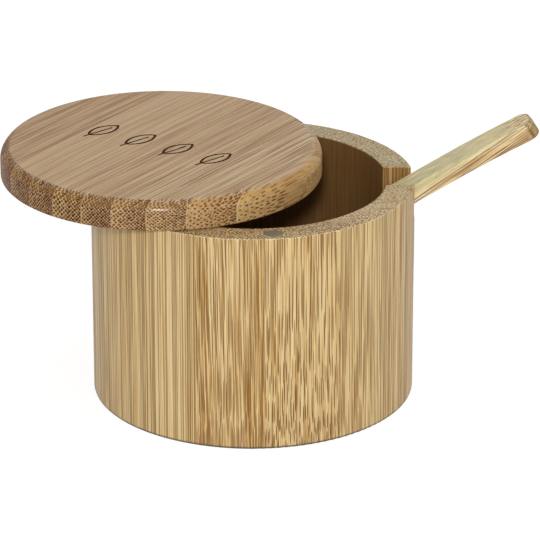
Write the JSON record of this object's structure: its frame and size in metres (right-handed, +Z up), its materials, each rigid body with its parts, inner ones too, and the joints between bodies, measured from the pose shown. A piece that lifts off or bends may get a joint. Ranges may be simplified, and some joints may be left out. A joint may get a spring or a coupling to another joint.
{
  "type": "salt box",
  "caption": "Round turned bamboo salt box with a thick wall, a swivelling lid of glued strips held by magnets, a spoon notch in the rim and a small bamboo spoon.",
  "frame": {"origin": "centre of the cup's underside, on the surface that the box stands on", "axes": "+Z up; +X out through the spoon notch; +Y a quarter turn anticlockwise from +X seen from above, roughly towards the lid's pivot"},
  "size_m": [0.1474, 0.0944, 0.0783],
  "materials": {
    "bamboo_cup": "turned, sanded and lightly oiled; upright grain",
    "bamboo_lid": "sanded and lightly oiled; grain along the strips, engraved row burned dark brown",
    "bamboo_spoon": "sanded smooth; outer skin on top",
    "steel_pin": "plain ground steel",
    "magnet_metal": "dull nickel plate"
  },
  "bodies": {
    "cup": {"cup_body": "bamboo_cup", "pivot_pin": "steel_pin", "cup_magnet": "magnet_metal"},
    "lid": {"lid_strip_01": "bamboo_lid", "lid_strip_02": "bamboo_lid", "lid_strip_03": "bamboo_lid", "lid_strip_04": "bamboo_lid", "lid_strip_05": "bamboo_lid", "lid_strip_06": "bamboo_lid", "lid_strip_07": "bamboo_lid", "lid_strip_08": "bamboo_lid", "lid_strip_09": "bamboo_lid", "lid_strip_10": "bamboo_lid", "lid_strip_11": "bamboo_lid", "lid_magnet": "magnet_metal"},
    "spoon": {"spoon": "bamboo_spoon"}
  },
  "joints": [
    {"name": "lid_swivel", "type": "hinge", "parent": "cup", "child": "lid", "pos_m": [-0.00404, 0.04045, 0.0616], "axis": [0, 0, 1], "range_deg": [-143.3, 36.7]},
    {"name": "spoon_slide", "type": "slide", "parent": "cup", "child": "spoon", "axis": [0.8526, 0, 0.5225], "range_m": [0, 0.1]}
  ]
}
